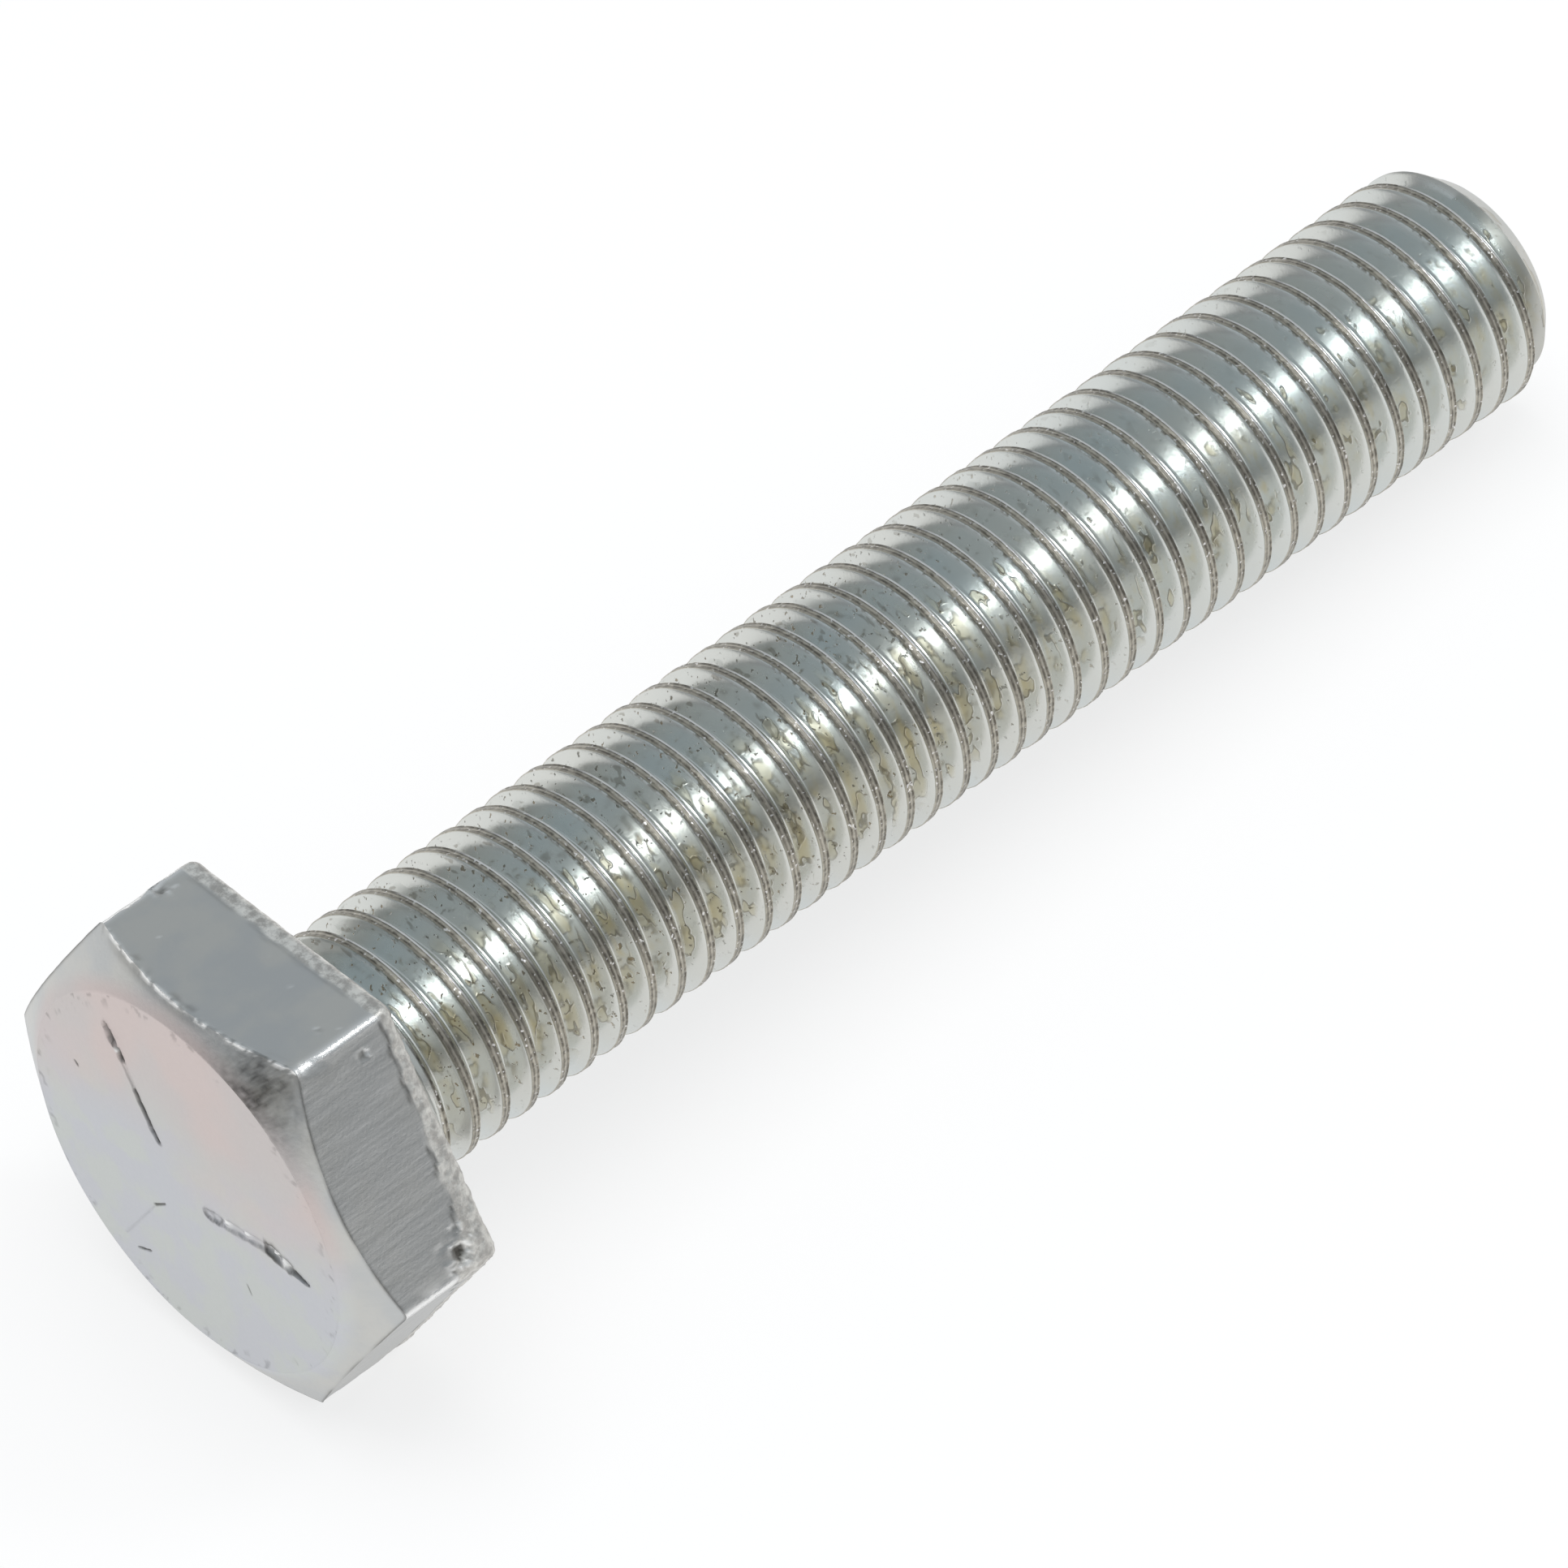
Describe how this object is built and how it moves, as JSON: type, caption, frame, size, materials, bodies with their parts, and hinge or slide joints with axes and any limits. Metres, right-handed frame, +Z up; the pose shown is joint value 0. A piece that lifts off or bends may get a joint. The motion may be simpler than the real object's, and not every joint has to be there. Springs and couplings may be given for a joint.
{
  "type": "hex head cap screw",
  "caption": "Fully threaded hex head cap screw with a chamfered head, a washer face and a fine right-hand thread, lying on its side.",
  "frame": {"origin": "on the table, under the middle of the screw's box as it lies at rest", "axes": "+X towards the point of the screw, +Z up, and +Y to the left of someone who looks along +X. The screw's own axis dips 3.68 degrees towards the point, because the head is wider than the thread"},
  "size_m": [0.0418, 0.0128, 0.0112],
  "materials": {
    "zinc_plated_steel": "clear zinc plate, worn, satin"
  },
  "bodies": {
    "root": {"cap_screw": "zinc_plated_steel"}
  },
  "joints": []
}
